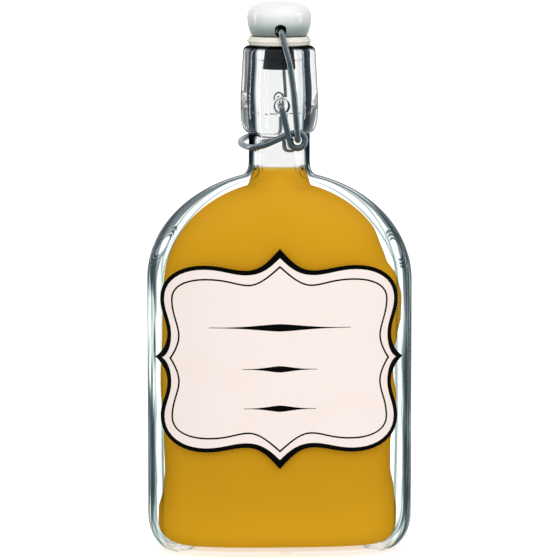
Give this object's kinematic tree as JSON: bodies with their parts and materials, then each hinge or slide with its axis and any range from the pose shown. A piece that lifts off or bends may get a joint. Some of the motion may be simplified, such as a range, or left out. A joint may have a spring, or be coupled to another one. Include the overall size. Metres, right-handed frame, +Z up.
{
  "type": "swing-top glass flask bottle of maple syrup",
  "caption": "Flat clear glass flask of amber syrup with a bracket-shaped paper label and a porcelain stopper held by a wire swing-top closure.",
  "frame": {"origin": "centre of the base, on the surface that the flask stands on", "axes": "+Z up towards the stopper, -Y out of the broad front with the label, +X to the right seen from the front"},
  "size_m": [0.1078, 0.0547, 0.2243],
  "materials": {
    "clear_glass": "smooth moulded clear glass",
    "amber_syrup": "glossy amber liquid",
    "label_paper": "matt pale pink paper with a printed black border",
    "white_porcelain": "glossy white glaze",
    "pale_rubber": "matt pale beige rubber",
    "dark_rubber": "satin black rubber",
    "steel_wire": "drawn steel wire, slate grey with a soft shine"
  },
  "bodies": {
    "bottle": {"glass_bottle": "clear_glass", "syrup": "amber_syrup", "label": "label_paper"},
    "lever": {"lever_wire": "steel_wire"},
    "bail": {"bail_wire": "steel_wire"},
    "stopper": {"stopper_cap": "white_porcelain", "gasket": "pale_rubber", "stopper_plug": "dark_rubber"}
  },
  "joints": [
    {"name": "lever_pivot", "type": "hinge", "parent": "bottle", "child": "lever", "pos_m": [0, 0, 0.1828], "axis": [0, 1, 0], "range_deg": [0, 84], "deforming": ["gasket"]},
    {"name": "bail_hinge", "type": "hinge", "parent": "lever", "child": "bail", "pos_m": [0.0066, 0, 0.1694], "axis": [0, 1, 0], "range_deg": [-58.2, 0]},
    {"name": "stopper_hinge", "type": "hinge", "parent": "bail", "child": "stopper", "pos_m": [0, 0, 0.2127], "axis": [0, 1, 0], "range_deg": [-26.3, 0]}
  ],
  "couplings": [
    {"joint": "bail_hinge", "follows": "lever_pivot", "ratio": -0.69},
    {"joint": "stopper_hinge", "follows": "lever_pivot", "ratio": -0.31}
  ]
}
